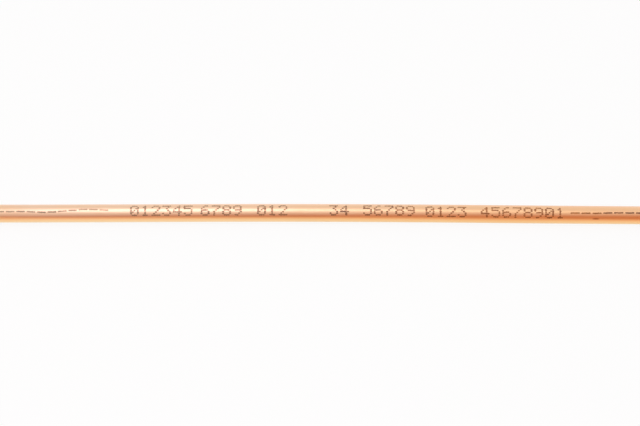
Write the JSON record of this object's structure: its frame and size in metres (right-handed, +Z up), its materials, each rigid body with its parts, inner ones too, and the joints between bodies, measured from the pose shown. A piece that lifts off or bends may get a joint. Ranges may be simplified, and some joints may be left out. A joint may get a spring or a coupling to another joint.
{
  "type": "copper tube",
  "caption": "Straight length of small-bore soft copper tube, cut square and deburred, for joining to tube fittings.",
  "frame": {"origin": "on the floor, below the middle of the tube's length", "axes": "+X along the tube, +Z up"},
  "size_m": [0.3, 0.0048, 0.0048],
  "materials": {
    "copper": "satin"
  },
  "bodies": {
    "root": {"copper_tube": "copper"}
  },
  "joints": []
}
